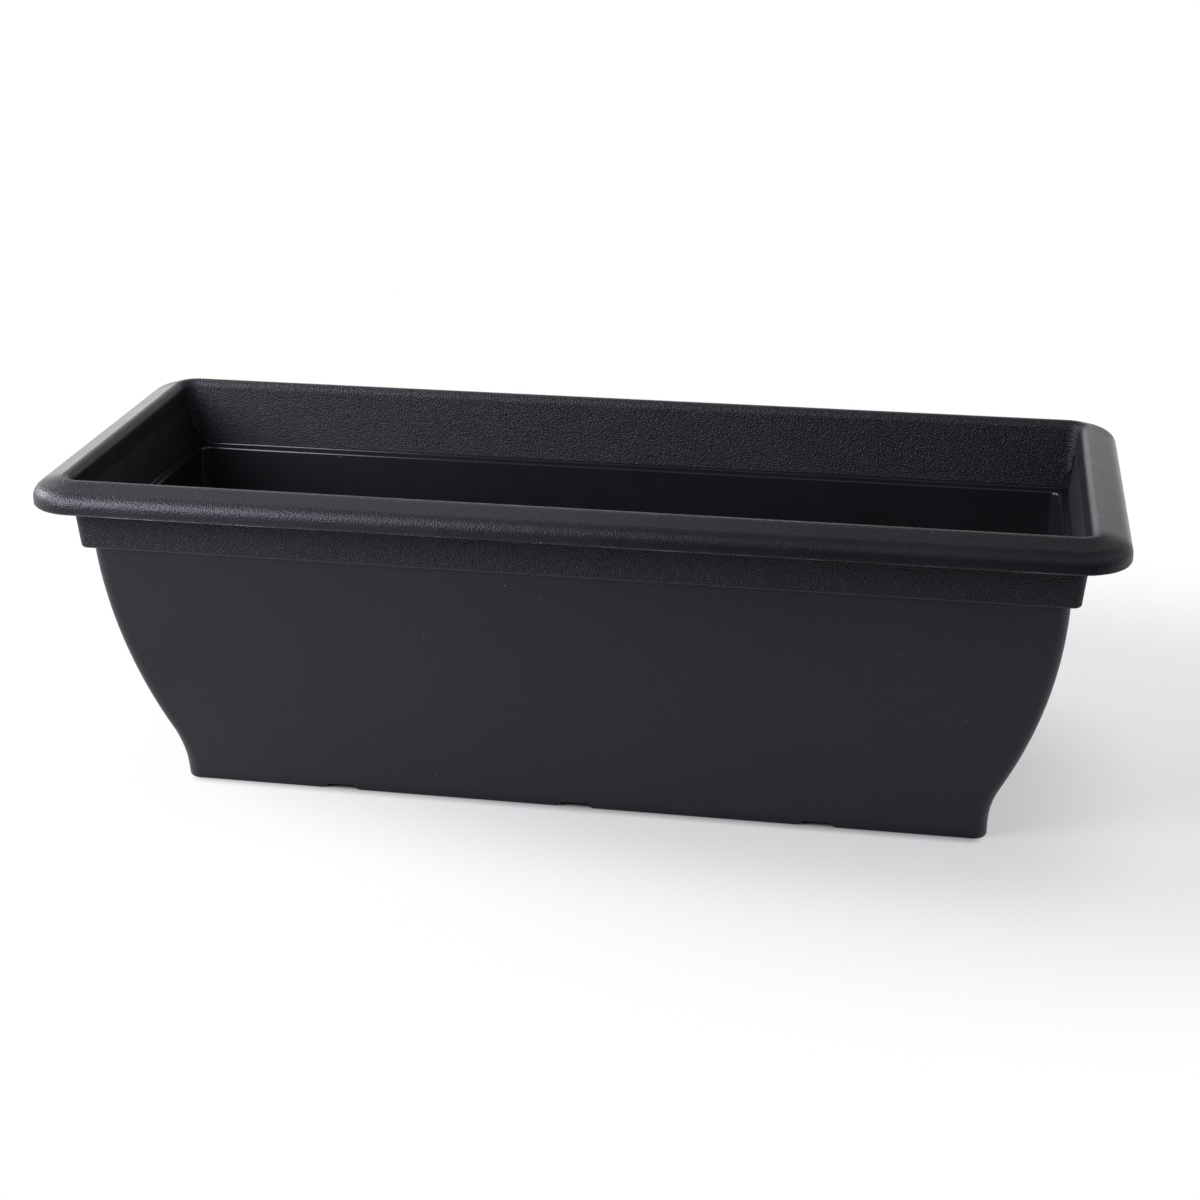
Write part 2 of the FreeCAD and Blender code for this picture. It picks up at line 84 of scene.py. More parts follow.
class Wire:
    """A value socket that Python arithmetic extends with Math nodes."""

    def __init__(self, board: "NodeBoard", socket: bpy.types.NodeSocket) -> None:
        """Keeps the socket and the board that its nodes are added to."""
        self.board = board
        self.socket = socket

    def maths(self, operation: str, *operands: Operand) -> "Wire":
        """Adds one Math node.

        Args:
            operation: the Math node's operation.
            *operands: its inputs in order, wires or numbers.

        Returns:
            The node's result.
        """
        sockets = dict(enumerate(operands))
        return self.board.value("ShaderNodeMath", 0, {"operation": operation}, sockets)

    def __add__(self, other: Operand) -> "Wire":
        """Gives self + other."""
        return self.maths("ADD", self, other)

    __radd__ = __add__

    def __sub__(self, other: Operand) -> "Wire":
        """Gives self - other."""
        return self.maths("SUBTRACT", self, other)

    def __rsub__(self, other: Operand) -> "Wire":
        """Gives other - self."""
        return self.maths("SUBTRACT", other, self)

    def __mul__(self, other: Operand) -> "Wire":
        """Gives self * other."""
        return self.maths("MULTIPLY", self, other)

    __rmul__ = __mul__

    def __truediv__(self, other: Operand) -> "Wire":
        """Gives self / other."""
        return self.maths("DIVIDE", self, other)

    def __lt__(self, other: Operand) -> "Wire":
        """Gives 1 where self is below other, else 0."""
        return self.maths("LESS_THAN", self, other)

    def __gt__(self, other: Operand) -> "Wire":
        """Gives 1 where self is above other, else 0."""
        return self.maths("GREATER_THAN", self, other)

    def __abs__(self) -> "Wire":
        """Gives the size of self without its sign."""
        return self.maths("ABSOLUTE", self)

    def most(self, other: Operand) -> "Wire":
        """Gives the larger of self and other."""
        return self.maths("MAXIMUM", self, other)

    def least(self, other: Operand) -> "Wire":
        """Gives the smaller of self and other."""
        return self.maths("MINIMUM", self, other)

    def hypot(self, other: "Wire") -> "Wire":
        """Gives the length of the vector (self, other)."""
        return self.maths("SQRT", self * self + other * other)

    def rise(self, low: float, high: float) -> "Wire":
        """Goes smoothly from 0 at low to 1 at high.

        Args:
            low: the value at which the result is 0.
            high: the value at which it is 1; below low, the result falls instead.

        Returns:
            The smooth step.
        """
        falls = high < low
        # The Map Range node's inputs: from min, from max, to min, to max
        ends = {1: min(low, high), 2: max(low, high), 3: float(falls), 4: float(not falls)}
        settings = {"interpolation_type": "SMOOTHSTEP", "clamp": True}
        return self.board.value("ShaderNodeMapRange", 0, settings, {0: self, **ends})


class NodeBoard:
    """A node tree under construction."""

    OCTAVE_SHARE: ClassVar[float] = 0.55

    def __init__(self, tree: bpy.types.NodeTree) -> None:
        """Empties the tree and keeps it."""
        tree.nodes.clear()
        self.tree = tree

    def node(
        self,
        kind: str,
        settings: Mapping[str, Any] | None = None,
        sockets: Mapping[str | int, Any] | None = None,
    ) -> bpy.types.Node:
        """Adds a node, sets it and then fills or links its inputs.

        Args:
            kind: the node's type.
            settings: its properties by name, which are set first.
            sockets: values, wires or output sockets by input name or index.

        Returns:
            The new node.
        """
        made = self.tree.nodes.new(kind)
        for name, value in (settings or {}).items():
            setattr(made, name, value)
        for key, value in (sockets or {}).items():
            if isinstance(value, Wire):
                self.tree.links.new(value.socket, made.inputs[key])
            elif isinstance(value, bpy.types.NodeSocket):
                self.tree.links.new(value, made.inputs[key])
            else:
                made.inputs[key].default_value = value
        return made

    def value(
        self,
        kind: str,
        out: str | int,
        settings: Mapping[str, Any] | None = None,
        sockets: Mapping[str | int, Any] | None = None,
    ) -> Wire:
        """Adds a node and wraps one of its outputs for arithmetic.

        Args:
            kind: the node's type.
            out: the output's name or index.
            settings: the node's properties.
            sockets: the node's inputs.

        Returns:
            The output as a wire.
        """
        return Wire(self, self.node(kind, settings, sockets).outputs[out])

    def shader(self, kind: str, sockets: Mapping[str | int, Any]) -> bpy.types.NodeSocket:
        """Adds a shader node and gives its output."""
        return self.node(kind, None, sockets).outputs[0]

    def raised(
        self,
        sockets: Mapping[str | int, Any],
        height: Wire,
        depth: float,
        strength: float = 1.0,
    ) -> bpy.types.NodeSocket:
        """Adds a Principled shader with a fine relief.

        Args:
            sockets: the shader's inputs, apart from its normal.
            height: the relief's pattern.
            depth: how high the pattern's value of 1 stands.
            strength: how much of the relief shows, from 0 to 1.

        Returns:
            The shader's output.
        """
        relief = {"Strength": strength, "Distance": depth, "Height": height}
        normal = self.node("ShaderNodeBump", None, relief).outputs[0]
        return self.shader("ShaderNodeBsdfPrincipled", {**sockets, "Normal": normal})

    def split(self, vector: bpy.types.NodeSocket) -> tuple[Wire, Wire, Wire]:
        """Gives a vector's three components."""
        parts = self.node("ShaderNodeSeparateXYZ", None, {0: vector})
        return tuple(Wire(self, socket) for socket in parts.outputs)

    def blend(self, share: Operand, first: Any, second: Any) -> bpy.types.NodeSocket:
        """Mixes two colours.

        Args:
            share: how much of the second colour, from 0 to 1.
            first: a colour or colour socket.
            second: a colour or colour socket.

        Returns:
            The mixed colour's socket.
        """
        # The Mix node's inputs 6 and 7 and its output 2 are the ones for colours
        sockets = {0: share, 6: _rgba(first), 7: _rgba(second)}
        settings = {"data_type": "RGBA", "clamp_factor": True}
        return self.node("ShaderNodeMix", settings, sockets).outputs[2]

    def noise(self, place: bpy.types.NodeSocket, scale: float, detail: float) -> Wire:
        """Adds a noise pattern.

        Args:
            place: the coordinates that it is taken at.
            scale: how many features there are to a metre.
            detail: how many finer octaves are laid over it.

        Returns:
            The pattern's value, about NOISE_MEAN on average.
        """
        sockets = {
            "Vector": place, "Scale": scale, "Detail": detail, "Roughness": self.OCTAVE_SHARE}
        return self.value("ShaderNodeTexNoise", 0, {"noise_dimensions": "3D"}, sockets)

    def stretch(self, place: bpy.types.NodeSocket, scale: Point) -> bpy.types.NodeSocket:
        """Scales coordinates by axis, so that a pattern is drawn out."""
        settings = {"operation": "MULTIPLY"}
        return self.node("ShaderNodeVectorMath", settings, {0: place, 1: scale}).outputs[0]


def _rgba(colour: Any) -> Any:
    """Gives a colour tuple an alpha of 1 and passes a socket through."""
    return (*colour, 1.0) if isinstance(colour, tuple) else colour


class Finish(ABC):
    """A surface finish that can make its node material."""

    name: ClassVar[str]

    def material(self) -> bpy.types.Material:
        """Makes the finish's material.

        Returns:
            A new node material.
        """
        made = bpy.data.materials.new(self.name)
        made.use_nodes = True
        board = NodeBoard(made.node_tree)
        surface = self.surface(board)
        board.node("ShaderNodeOutputMaterial", None, {"Surface": surface})
        return made

    @abstractmethod
    def surface(self, board: NodeBoard) -> bpy.types.NodeSocket:
        """Builds the finish's nodes.

        Args:
            board: the material's empty node board.

        Returns:
            The shader socket for the material's output.
        """


@dataclass(frozen=True)
class Zones:
    """Where on the trough a point lies, as masks from 0 to 1."""

    inward: Wire
    smooth: Wire
    on_rim: Wire
    end_rim: Wire
    on_wall: Wire
    on_band: Wire
    in_collar: Wire
    band_painted_highlight: Wire
    wear_and_painted_highlight: Wire


@dataclass(frozen=True)
class Patterns:
    """The patterns that the plastic's tone, gloss and relief share."""

    flow: Wire
    mottle: Wire
    streak: Wire
    speck: Wire


@dataclass(frozen=True)
class MouldedPlastic(Finish):
    """Anthracite plastic with a moulded grain outside and a polished room inside."""

    name: ClassVar[str] = "moulded_plastic"

    # Zones by facing, by height and by distance from the middle
    facing_in: Span = (0.002, -0.002)
    facing_up: float = 0.5
    facing_down: float = -0.6
    underside_share: float = 0.7
    floor_low: float = 3.0 * MM
    floor_high: float = 16.3 * MM
    wall_top: Span = (159.6 * MM, 158.6 * MM)
    room_top: Span = (161.4 * MM, 160.6 * MM)
    rim_foot: Span = (185.0 * MM, 187.0 * MM)
    end_run: Span = (268.0 * MM, 282.0 * MM)
    corner_run: Span = (102.0 * MM, 80.0 * MM)

    # Edges that are rubbed pale, partly as painted highlight lines on the lip and the crest, and
    # the painted highlight line at the band's foot
    lip_height: float = 186.0 * MM
    lip_reach: Span = (1.6 * MM, 0.2 * MM)
    crest_reach: Span = (199.0 * MM, 200.0 * MM)
    crest_wear_and_highlight_share: float = 0.7
    foot_reach: Span = (2.2 * MM, 0.2 * MM)
    band_foot: float = 157.4 * MM
    band_reach: Span = (1.6 * MM, 0.6 * MM)
    rub_scale: float = 160.0
    rub_span: Span = (0.42, 0.68)
    even_wear: float = 0.35

    # Patterns, in features to a metre
    flow_scale: float = 9.0
    mottle_scale: float = 70.0
    streak_scale: Point = (260.0, 260.0, 18.0)
    speck_scale: float = 75.0
    speck_radius: float = 0.022
    speckless_share: float = 0.55

    # Tone
    base: Colour = (0.0086, 0.0086, 0.0108)
    dark: Colour = (0.0072, 0.0072, 0.0091)
    pale: Colour = (0.0100, 0.0100, 0.0125)
    # Pale edge colour: partly wear, partly painted highlight
    pale_wear_and_highlight: Colour = (0.0300, 0.0300, 0.0330)
    dust: Colour = (0.240, 0.230, 0.205)
    flow_span: Span = (0.3, 0.7)
    mottle_span: Span = (0.35, 0.65)
    base_share: float = 0.5
    # How much of the pale colour the edges take, as wear and painted highlight, and the band's
    # painted highlight line
    pale_wear_and_highlight_share: float = 0.55
    band_painted_highlight_share: float = 0.6
    dust_share: float = 0.8

    # Gloss
    matt: float = 0.42
    wall_matt: float = 0.38
    band_matt: float = 0.52
    collar_matt: float = 0.50
    end_matt: float = 0.26
    flow_matt: float = 0.10
    mottle_matt: float = 0.08
    wear_gloss: float = 0.10
    band_line_gloss: float = 0.20
    polished: float = 0.17
    streak_matt: float = 0.10
    room_mottle_matt: float = 0.06
    specular: float = 0.35
    sheen_tint: Colour = (0.81, 0.81, 1.0)
    ior: float = 1.49

    # Relief: the grain and how it differs by zone
    grain_depth: float = 0.40 * MM
    grain_pitch: float = 0.70 * MM
    grain_share: float = 0.9
    pebble_pitch: float = 1.00 * MM
    pebble_share: float = 0.7
    pebble_mean: float = 0.45
    pebble_softness: float = 0.4
    wall_calm_share: float = 0.60
    end_calm_share: float = 0.90
    collar_extra_share: float = 0.25
    rim_less_share: float = 0.5
    band_extra_share: float = 0.8
    streak_height: float = 0.04
    speck_height: float = 0.6

    def surface(self, board: NodeBoard) -> bpy.types.NodeSocket:
        """Builds the plastic from position and facing, see Finish.surface."""
        coords = board.node("ShaderNodeTexCoord")
        place = coords.outputs["Object"]
        zones = self.zones(board, place, coords.outputs["Normal"])
        patterns = self.patterns(board, place)
        sockets = {
            "Base Color": self.tone(board, zones, patterns),
            "Roughness": self.roughness(zones, patterns),
            "Specular IOR Level": self.specular,
            "Specular Tint": _rgba(self.sheen_tint),
            "IOR": self.ior,
        }
        height = self.relief(board, place, zones, patterns)
        return board.raised(sockets, height, self.grain_depth)

    def zones(
        self,
        board: NodeBoard,
        place: bpy.types.NodeSocket,
        facing: bpy.types.NodeSocket,
    ) -> Zones:
        """Tells the parts of the moulding from one another.

        Args:
            board: the material's node board.
            place: the point's coordinates on the trough.
            facing: the direction that the surface faces there.

        Returns:
            The masks.
        """
        x, y, z = board.split(place)
        nx, ny, nz = board.split(facing)
        inward = (x * nx + y * ny).rise(*self.facing_in)
        outward = 1 - inward
        floor_top = (nz > self.facing_up) * (z < self.floor_high) * (z > self.floor_low)
        in_room = inward.most(floor_top) * z.rise(*self.room_top)
        below_ledge = z.rise(*self.wall_top)
        on_rim = z.rise(*self.rim_foot)

        # Pale edges: the foot's is wear, the lip's and the crest's are partly wear and partly
        # painted highlight lines
        lip_wear_and_painted_highlight = abs(z - self.lip_height).rise(*self.lip_reach) * outward
        foot_edge = z.rise(*self.foot_reach)
        crest_wear_and_painted_highlight = z.rise(*self.crest_reach) * self.crest_wear_and_highlight_share
        rub = board.noise(place, self.rub_scale, detail=4).rise(*self.rub_span)
        patchy = self.even_wear + rub * (1 - self.even_wear)
        return Zones(
            inward=inward,
            smooth=in_room.most((nz < self.facing_down) * self.underside_share),
            on_rim=on_rim,
            end_rim=abs(x).rise(*self.end_run) * on_rim * abs(y).rise(*self.corner_run),
            on_wall=below_ledge * outward,
            on_band=(1 - below_ledge) * outward * (1 - on_rim),
            in_collar=inward * (1 - in_room),
            # The band's foot gets a painted highlight line
            band_painted_highlight=abs(z - self.band_foot).rise(*self.band_reach) * outward,
            wear_and_painted_highlight=lip_wear_and_painted_highlight.most(foot_edge).most(crest_wear_and_painted_highlight) * patchy,
        )

    def patterns(self, board: NodeBoard, place: bpy.types.NodeSocket) -> Patterns:
        """Adds the plastic's flow marks, mottling, drawn streaks and dust specks.

        Args:
            board: the material's node board.
            place: the point's coordinates on the trough.

        Returns:
            The patterns.
        """
        cells = board.node(
            "ShaderNodeTexVoronoi", {"feature": "F1"},
            {"Vector": place, "Scale": self.speck_scale})
        chance = board.split(cells.outputs["Color"])[0]
        in_speck = Wire(board, cells.outputs["Distance"]) < self.speck_radius
        return Patterns(
            flow=board.noise(place, self.flow_scale, detail=3),
            mottle=board.noise(place, self.mottle_scale, detail=3),
            streak=board.noise(board.stretch(place, self.streak_scale), 1.0, detail=2),
            speck=in_speck * (chance > self.speckless_share),
        )

    def tone(
        self, board: NodeBoard, zones: Zones, patterns: Patterns
    ) -> bpy.types.NodeSocket:
        """Mixes the plastic's colour, with pale edges that are partly wear and partly painted
        highlight, and a painted highlight line at the band's foot.

        Args:
            board: the material's node board.
            zones: the masks.
            patterns: the patterns.

        Returns:
            The colour's socket.
        """
        base_part = patterns.mottle.rise(*self.mottle_span) * self.base_share
        # Pale edges, partly wear and partly painted highlight, and the band's painted highlight
        # line
        pale_wear_and_highlight_part = (zones.wear_and_painted_highlight * self.pale_wear_and_highlight_share).most(zones.band_painted_highlight * self.band_painted_highlight_share)
        tone = board.blend(patterns.flow.rise(*self.flow_span), self.dark, self.pale)
        tone = board.blend(base_part, tone, self.base)
        tone = board.blend(pale_wear_and_highlight_part, tone, self.pale_wear_and_highlight)
        return board.blend(patterns.speck * self.dust_share, tone, self.dust)

    def roughness(self, zones: Zones, patterns: Patterns) -> Wire:
        """Works out how matt the plastic is.

        Args:
            zones: the masks.
            patterns: the patterns.

        Returns:
            The roughness.
        """
        flow, mottle, streak = (
            pattern - NOISE_MEAN for pattern in (patterns.flow, patterns.mottle, patterns.streak))
        by_zone = (
            (zones.on_wall, self.wall_matt),
            (zones.end_rim, self.end_matt),
            (zones.in_collar, self.collar_matt),
            (zones.on_band, self.band_matt),
        )
        matt: Operand = self.matt
        for zone, level in by_zone:
            matt = matt + zone * (level - self.matt)
        matt = matt + flow * self.flow_matt + mottle * self.mottle_matt
        matt = matt - zones.wear_and_painted_highlight * self.wear_gloss - zones.band_painted_highlight * self.band_line_gloss
        polished = self.polished + streak * self.streak_matt + mottle * self.room_mottle_matt
        return matt * (1 - zones.smooth) + polished * zones.smooth

    def relief(
        self,
        board: NodeBoard,
        place: bpy.types.NodeSocket,
        zones: Zones,
        patterns: Patterns,
    ) -> Wire:
        """Works out the moulded grain, deeper or calmer by zone.

        Args:
            board: the material's node board.
            place: the point's coordinates on the trough.
            zones: the masks.
            patterns: the patterns.

        Returns:
            The relief's height as a share of its depth.
        """
        grain = board.noise(place, 1 / self.grain_pitch, detail=0)
        pebbles = board.value(
            "ShaderNodeTexVoronoi", "Distance",
            {"feature": "SMOOTH_F1", "voronoi_dimensions": "3D"},
            {"Vector": place, "Scale": 1 / self.pebble_pitch, "Smoothness": self.pebble_softness},
        )
        leather = (grain - NOISE_MEAN) * self.grain_share
        leather = leather + (pebbles - self.pebble_mean) * self.pebble_share
        calm = (zones.on_wall * self.wall_calm_share).most(zones.end_rim * self.end_calm_share)
        outer_rim = zones.on_rim * (1 - zones.inward)
        share = 1 + zones.in_collar * self.collar_extra_share - outer_rim * self.rim_less_share
        share = share + zones.on_band * self.band_extra_share
        grained = (1 - zones.smooth) * (1 - calm) * share * (1 - zones.band_painted_highlight)
        streaks = patterns.streak * self.streak_height * zones.smooth
        return leather * grained + streaks + patterns.speck * self.speck_height


@dataclass(frozen=True)
class FlashPlastic(Finish):
    """The same plastic where it ran thin into the mould's parting line, its paleness partly a
    painted highlight along the lip's lower edge.
    """

    name: ClassVar[str] = "flash_plastic"
    # Pale in patches: partly thin plastic, partly a painted highlight along the lip's edge
    thin: Colour = (0.160, 0.160, 0.165)
    thick: Colour = (0.040, 0.040, 0.043)
    patch_scale: float = 55.0
    patch_span: Span = (0.35, 0.65)
    fine_scale: float = 900.0
    fine_depth: float = 0.05 * MM
    fine_strength: float = 0.6
    matt: float = 0.42
    fine_matt: float = 0.2

    def surface(self, board: NodeBoard) -> bpy.types.NodeSocket:
        """Builds the paler, patchy plastic of the flash, see Finish.surface."""
        place = board.node("ShaderNodeTexCoord").outputs["Object"]
        patch = board.noise(place, self.patch_scale, detail=3)
        fine = board.noise(place, self.fine_scale, detail=2)
        sockets = {
            "Base Color": board.blend(patch.rise(*self.patch_span), self.thick, self.thin),
            "Roughness": self.matt + (fine - NOISE_MEAN) * self.fine_matt,
        }
        return board.raised(sockets, fine, self.fine_depth, self.fine_strength)


@dataclass(frozen=True)
class PlugRubber(Finish):
    """Soft black rubber with a dull bloom and the mould's fine texture."""

    name: ClassVar[str] = "plug_rubber"
    deep: Colour = (0.012, 0.012, 0.013)
    bloom: Colour = (0.034, 0.033, 0.032)
    cloud_scale: float = 120.0
    cloud_span: Span = (0.35, 0.7)
    bloom_share: float = 0.7
    fine_scale: float = 1900.0
    handling_scale: float = 420.0
    handling_share: float = 0.8
    fine_depth: float = 0.05 * MM
    fine_strength: float = 0.7
    matt: float = 0.74
    cloud_matt: float = 0.16
    specular: float = 0.4

    def surface(self, board: NodeBoard) -> bpy.types.NodeSocket:
        """Builds the matt rubber, see Finish.surface."""
        place = board.node("ShaderNodeTexCoord").outputs["Object"]
        cloud = board.noise(place, self.cloud_scale, detail=4)
        fine = board.noise(place, self.fine_scale, detail=2)
        handling = board.noise(place, self.handling_scale, detail=3)
        bloom_part = cloud.rise(*self.cloud_span) * self.bloom_share
        sockets = {
            "Base Color": board.blend(bloom_part, self.deep, self.bloom),
            "Roughness": self.matt + (cloud - NOISE_MEAN) * self.cloud_matt,
            "Specular IOR Level": self.specular,
        }
        height = fine + handling * self.handling_share
        return board.raised(sockets, height, self.fine_depth, self.fine_strength)


@dataclass(frozen=True)
class WhiteSweep(Finish):
    """The studio's white floor, which keeps the lamps' shadow near the trough and dims its glow
    close to the foot as a painted contact shadow.
    """

    name: ClassVar[str] = "white_sweep"
    paper: Colour = (0.25, 0.25, 0.252)
    fibre_scale: float = 240.0
    fibre_span: Span = (0.3, 0.7)
    fibre_shade: float = 0.985
    glow: float = 0.63
    glow_tint: Colour = (0.975, 0.985, 1.0)
    # Painted contact shadow: how far from the foot the floor's glow is dimmed, and how much
    foot_half_length: float = 228.0 * MM
    foot_half_width: float = 58.8 * MM
    painted_contact_shadow_share: float = 0.75
    painted_contact_shadow_reach: float = 9.5 * MM
    painted_end_shadow_reach: float = 8.0 * MM
    painted_soft_shadow_reach: Span = (0.0, 120.0 * MM)
    shade_middle: tuple[float, float] = (200.0 * MM, 60.0 * MM)
    shade_stretch: float = 1.6
    shade_reach: Span = (160.0 * MM, 360.0 * MM)

    def surface(self, board: NodeBoard) -> bpy.types.NodeSocket:
        """Builds the floor, white to the eye and plain paper to the light, with a painted contact
        shadow where its glow is dimmed near the foot.
        """
        place = board.node("ShaderNodeTexCoord").outputs["Object"]
        x, y, _ = board.split(place)
        # Painted contact shadow: the glow falls steeply within millimetres of the foot and softly
        # out to 120 mm
        off_end = (abs(x) - self.foot_half_length).most(0.0)
        off_side = (abs(y) - self.foot_half_width).most(0.0)
        painted_contact_ramp = (off_side / self.painted_contact_shadow_reach).hypot(off_end / self.painted_end_shadow_reach).least(1.0)
        painted_soft_ramp = off_end.hypot(off_side).rise(*self.painted_soft_shadow_reach)
        glow_after_painted_shadow = painted_contact_ramp * self.painted_contact_shadow_share + painted_soft_ramp * (1 - self.painted_contact_shadow_share)

        aside = (x - self.shade_middle[0]) / self.shade_stretch
        beyond = y - self.shade_middle[1]
        # The white far away is kept out of the painted contact shadow near the foot
        fade = aside.hypot(beyond).rise(*self.shade_reach) * painted_contact_ramp

        fibre = board.noise(place, self.fibre_scale, detail=3).rise(*self.fibre_span)
        shaded = tuple(part * self.fibre_shade for part in self.paper)
        paper = board.blend(fibre, self.paper, shaded)
        # The glow, dimmed near the foot as a painted contact shadow
        glow = board.blend(glow_after_painted_shadow, BLACK, self.glow_tint)
        matt = board.shader("ShaderNodeBsdfDiffuse", {"Color": paper})
        lift = board.shader("ShaderNodeEmission", {"Color": glow, "Strength": self.glow})
        lit = board.shader("ShaderNodeAddShader", {0: matt, 1: lift})
        white = board.shader("ShaderNodeEmission", {"Strength": 1.0})
        shown = board.shader("ShaderNodeMixShader", {0: fade, 1: lit, 2: white})
        seen = background_rays(board)
        return board.shader("ShaderNodeMixShader", {0: seen, 1: matt, 2: shown})


def background_rays(board: NodeBoard) -> Wire:
    """Tells the rays that see the white floor from those that light the scene.

    Args:
        board: the floor's node board.

    Returns:
        1 for camera, glossy and transmission rays, else 0.
    """
    path = board.node("ShaderNodeLightPath")
    first, *others = (Wire(board, path.outputs[lobe.value]) for lobe in Lobe)
    for other in others:
        first = first.most(other)
    return first


@dataclass
class TroughShell:
    """The moulded trough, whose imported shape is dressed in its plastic."""

    node: str = "trough_shell"
    finish: Finish = MouldedPlastic()

    def dress(self) -> bpy.types.Object:
        """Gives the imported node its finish.

        Returns:
            The node's object.
        """
        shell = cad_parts[self.node]
        shell.material_slots[0].material = self.finish.material()
        return shell


@dataclass
class LipFlash:
    """The thin flash along the lip's lower edge, where the mould parts."""

    half_length: float = 300.0 * MM
    half_width: float = 117.5 * MM
    corner: float = 28.5 * MM
    height: float = 185.65 * MM
    inset: float = 0.55 * MM
    thick: float = 0.34 * MM
    thin: float = 0.06 * MM
    first_swell: float = 0.5
    swell_change: float = 0.22
    step: float = 4.0 * MM
    fewest_turns: int = 6
    sides: int = 8
    seed: int = 11
    finish: Finish = FlashPlastic()

    def path(self) -> list[tuple[Vector, Vector]]:
        """Lays out the lip's rounded outline.

        Returns:
            Points along the closed outline, each with its outward direction.
        """
        across = self.half_length - self.corner
        along = self.half_width - self.corner
        radius = self.corner - self.inset
        turns = max(self.fewest_turns, round(radius * math.pi / 2 / self.step))
        places: list[tuple[Vector, Vector]] = []
        for quarter, (sx, sy) in enumerate(((1, 1), (-1, 1), (-1, -1), (1, -1))):
            centre = Vector((sx * across, sy * along, self.height))
            for k in range(turns + 1):
                angle = math.pi / 2 * (quarter + k / turns)
                out = Vector((math.cos(angle), math.sin(angle), 0.0))
                places.append((centre + out * radius, out))
            run = 2 * (along if quarter % 2 else across)
            start, out = places[-1]
            way = Vector((-out.y, out.x, 0.0))
            count = round(run / self.step)
            places.extend((start + way * (run * k / count), out) for k in range(1, count))
        return places

    def build(self) -> bpy.types.Object:
        """Builds the flash as one closed tube of uneven thickness.

        Returns:
            The new object.
        """
        draw = random.Random(self.seed)
        mesh = bmesh.new()
        rings = []
        swell = self.first_swell
        for place, out in self.path():
            swell += draw.uniform(-self.swell_change, self.swell_change)
            swell = min(1.0, max(0.0, swell))
            radius = self.thin + (self.thick - self.thin) * swell
            ring = []
            for k in range(self.sides):
                angle = 2 * math.pi * k / self.sides
                offset = out * (math.cos(angle) * radius)
                offset.z = math.sin(angle) * radius
                ring.append(mesh.verts.new(place + offset))
            rings.append(ring)
        for here, there in zip(rings, rings[1:] + rings[:1]):
            for k in range(self.sides):
                n = (k + 1) % self.sides
                mesh.faces.new((here[k], there[k], there[n], here[n]))
        bmesh.ops.recalc_face_normals(mesh, faces=mesh.faces)
        return to_object(mesh, "lip_flash")

    def dress(self, flash: bpy.types.Object) -> None:
        """Gives the flash its finish and lets it ride on the trough."""
        flash.data.materials.append(self.finish.material())
        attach(flash, Body.TROUGH.value)


@dataclass
class DrainPlugs:
    """The push-in plugs that close the floor's drains."""

    nodes: Sequence[str] = ("drain_plug_left", "drain_plug_middle", "drain_plug_right")
    finish: Finish = PlugRubber()

    def dress(self) -> list[bpy.types.Object]:
        """Gives each packed plug its rubber.

        Returns:
            The plugs' objects.
        """
        rubber = self.finish.material()
        plugs = [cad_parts[name] for name in self.nodes]
        for plug in plugs:
            plug.material_slots[0].material = rubber
        return plugs


@dataclass(frozen=True)
class Lamp:
    """A soft box that points at a place on the trough."""

    name: str
    place: Point
    aim: Point
    size: tuple[float, float]
    power: float

    def build(self) -> None:
        """Hangs the soft box in the scene."""
        data = bpy.data.lights.new(self.name, "AREA")
        data.shape = "RECTANGLE"
        data.size, data.size_y = self.size
        data.energy = self.power
        lamp = bpy.data.objects.new(self.name, data)
        way = Vector(self.aim) - Vector(self.place)
        turn = way.to_track_quat("-Z", "Y").to_matrix().to_4x4()
        lamp.matrix_world = Matrix.Translation(self.place) @ turn
        bpy.context.scene.collection.objects.link(lamp)


@dataclass(frozen=True)
class View:
    """The camera, as fitted to the photograph's view of the trough."""

    place: Point = (0.20417, -1.13813, 0.58170)
    yaw: float = math.radians(9.9364)
    pitch: float = math.radians(22.3524)
    roll: float = math.radians(0.1811)
    lens: float = 63.361
    sensor: float = 36.0

    def build(self) -> None:
        """Sets the camera up as the scene's own."""
        level_run = math.cos(self.pitch)
        ahead = Vector((
            -math.sin(self.yaw) * level_run,
            math.cos(self.yaw) * level_run,
            -math.sin(self.pitch),
        ))
        level = Vector((math.cos(self.yaw), math.sin(self.yaw), 0.0))
        down = ahead.cross(level)
        right = level * math.cos(self.roll) + down * math.sin(self.roll)
        up = level * math.sin(self.roll) - down * math.cos(self.roll)
        data = bpy.data.cameras.new("view")
        data.lens, data.sensor_width = self.lens, self.sensor
        camera = bpy.data.objects.new("view", data)
        turn = Matrix((right, up, -ahead)).transposed().to_4x4()
        camera.matrix_world = Matrix.Translation(self.place) @ turn
        bpy.context.scene.collection.objects.link(camera)
        bpy.context.scene.camera = camera


